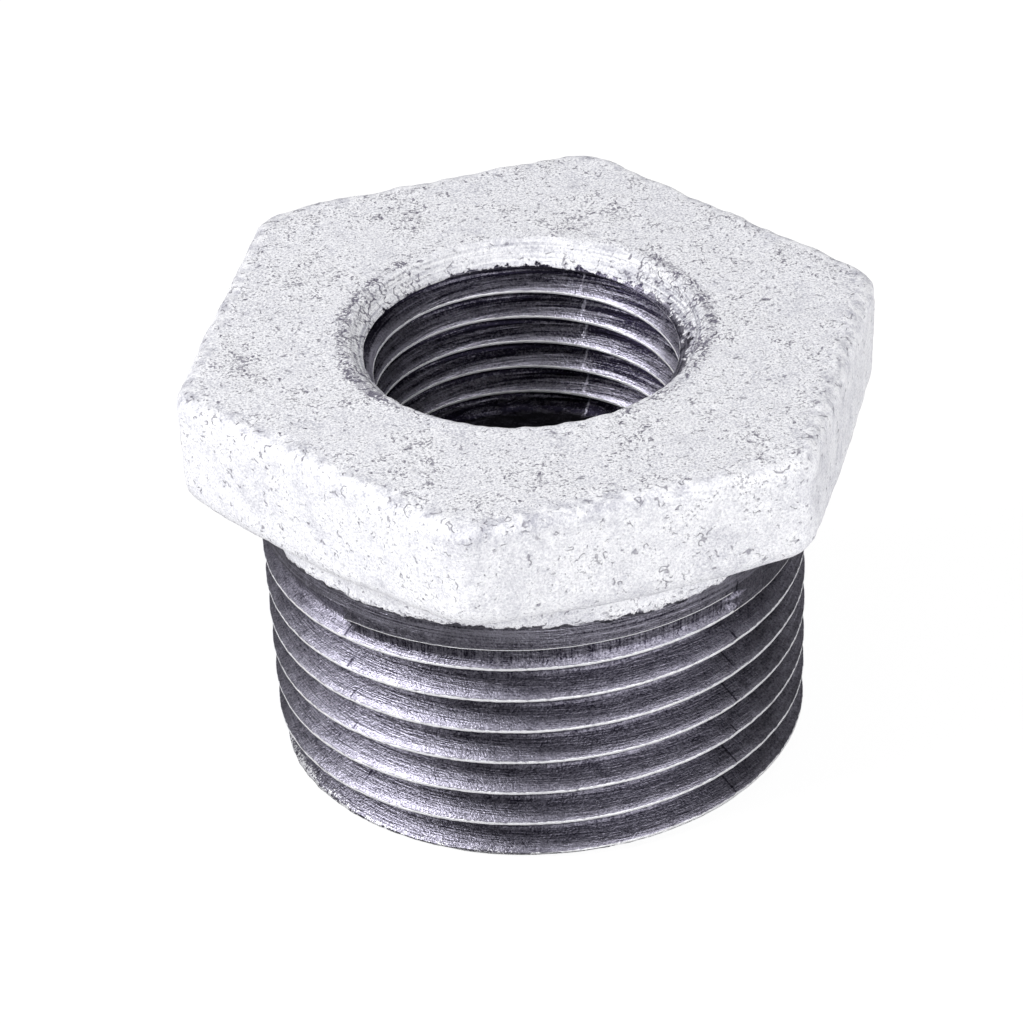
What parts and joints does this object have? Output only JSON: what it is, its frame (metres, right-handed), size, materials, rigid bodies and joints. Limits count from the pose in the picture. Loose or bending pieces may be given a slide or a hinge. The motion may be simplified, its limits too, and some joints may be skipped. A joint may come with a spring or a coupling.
{
  "type": "hex bushing",
  "caption": "Hexagon-head reducing bushing with a taper pipe thread outside and a parallel pipe thread inside, to step a pipe joint down to a smaller size.",
  "frame": {"origin": "centre of the threaded end's face, which the part stands on", "axes": "+Z along the thread axis, from the threaded end towards the hexagon head; +X through a corner of the hexagon"},
  "size_m": [0.0446, 0.0392, 0.0277],
  "materials": {
    "galvanised_iron": "hot-dip galvanised casting, with threads cut after dipping"
  },
  "bodies": {
    "root": {"hex_bushing": "galvanised_iron"}
  },
  "joints": []
}
